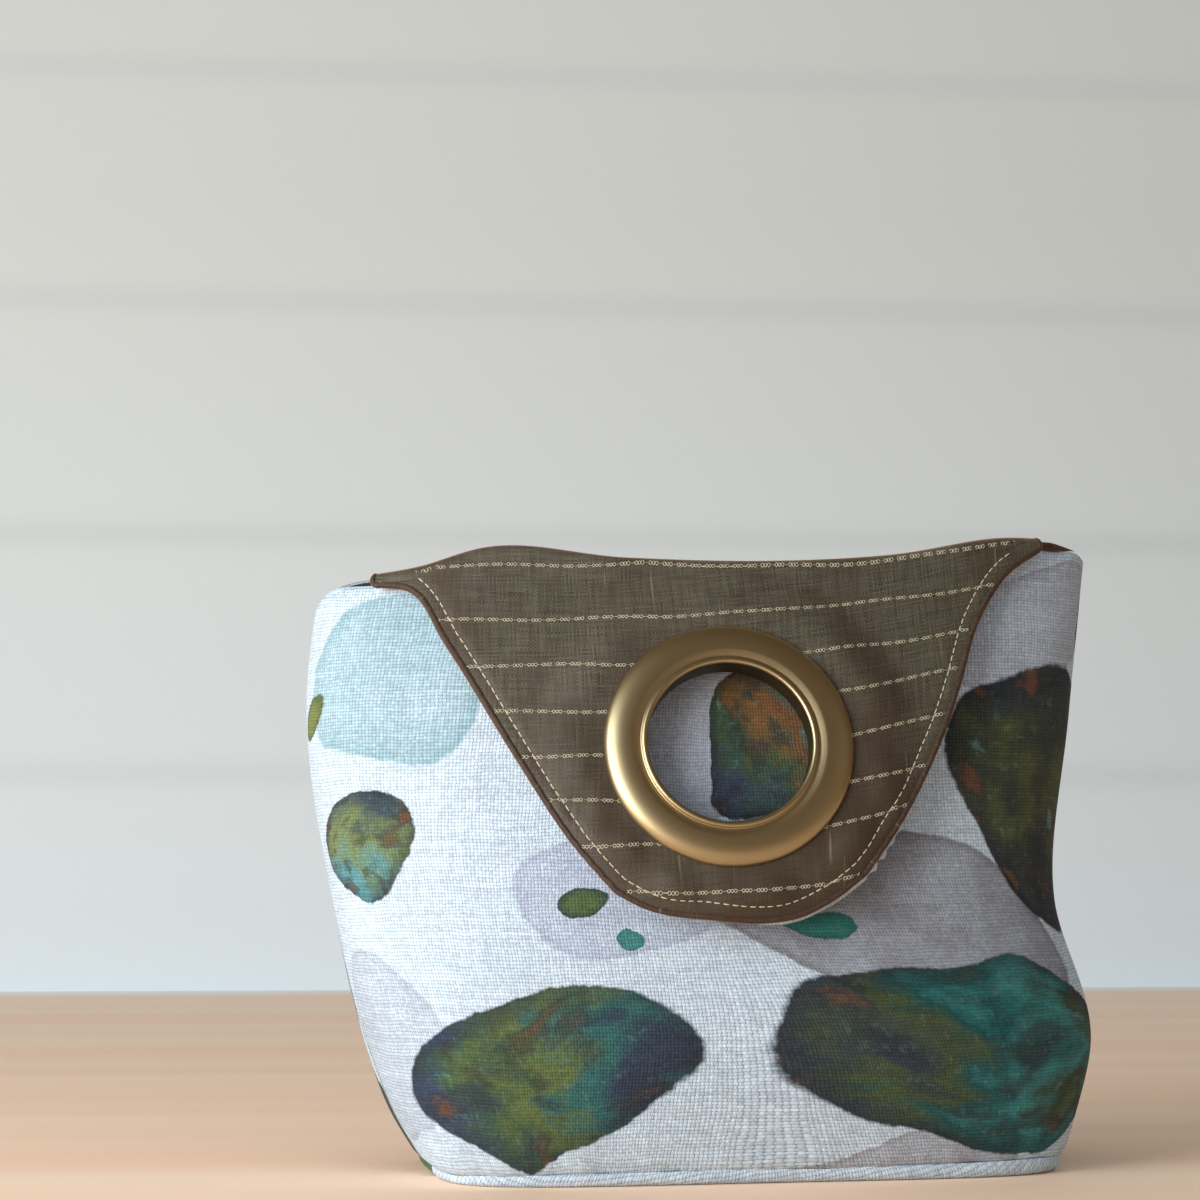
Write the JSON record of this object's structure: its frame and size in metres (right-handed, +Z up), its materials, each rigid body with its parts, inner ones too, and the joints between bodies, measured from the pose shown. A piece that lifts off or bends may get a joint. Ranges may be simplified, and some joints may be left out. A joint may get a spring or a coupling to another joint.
{
  "type": "lined fabric flap pouch with grommet ring",
  "caption": "Soft standing pouch of printed canvas with a striped lining, a tapered fold-over flap and a large metal grommet ring set in the flap.",
  "frame": {"origin": "middle of the flat underside of the base", "axes": "+X along the pouch's length to the right as seen from the front, -Y towards the front with the flap, +Z up"},
  "size_m": [0.1942, 0.1047, 0.153],
  "materials": {
    "canvas": "white plain-weave canvas with a loose watercolour print in teal, olive, indigo and grey",
    "lining": "olive-brown shot taffeta with rows of cream woven loops",
    "grommet_metal": "satin antique-gold plating"
  },
  "bodies": {
    "root": {"outer_front_panel": "canvas", "outer_back_panel": "canvas", "outer_base_panel": "canvas", "lining_front_panel": "lining", "lining_back_panel": "lining", "lining_base_panel": "lining", "grommet_front_ring": "grommet_metal", "grommet_back_ring": "grommet_metal"}
  },
  "joints": []
}
